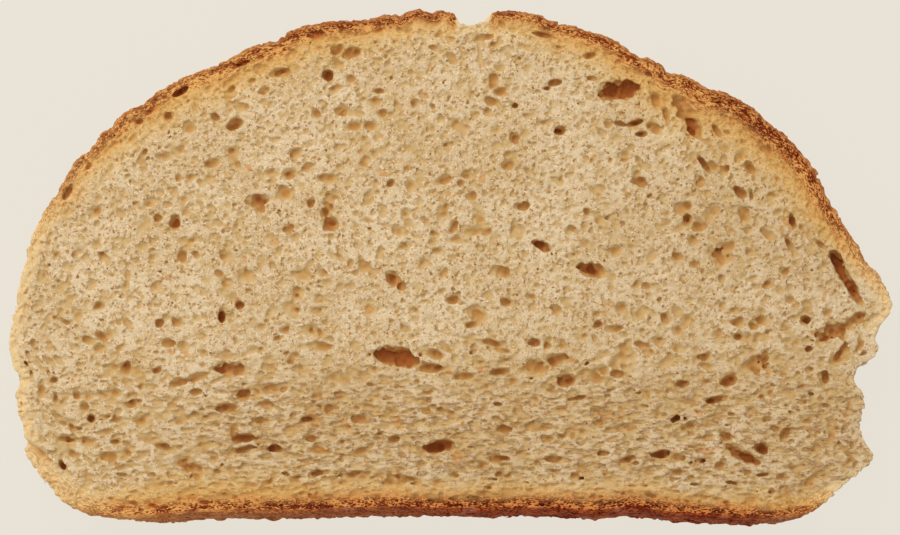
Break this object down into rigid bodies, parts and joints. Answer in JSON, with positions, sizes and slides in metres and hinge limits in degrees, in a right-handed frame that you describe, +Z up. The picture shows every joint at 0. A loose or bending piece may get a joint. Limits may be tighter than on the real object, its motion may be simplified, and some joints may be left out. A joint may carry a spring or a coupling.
{
  "type": "bread slice",
  "caption": "Thick slice of a domed batch-baked loaf, lying flat, with open crumb, toasted top and base crust and torn sides.",
  "frame": {"origin": "middle of the slice on the lower cut face that it lies on, at the centre of its outline's bounding box", "axes": "+X along the slice's width, +Y from its flat base crust to its domed top crust, +Z up through its thickness"},
  "size_m": [0.1606, 0.094, 0.014],
  "materials": {
    "bread": "open matte crumb, golden near the crust, with a toasted red-brown crust round its edge"
  },
  "bodies": {
    "root": {"bread_slice": "bread"}
  },
  "joints": []
}
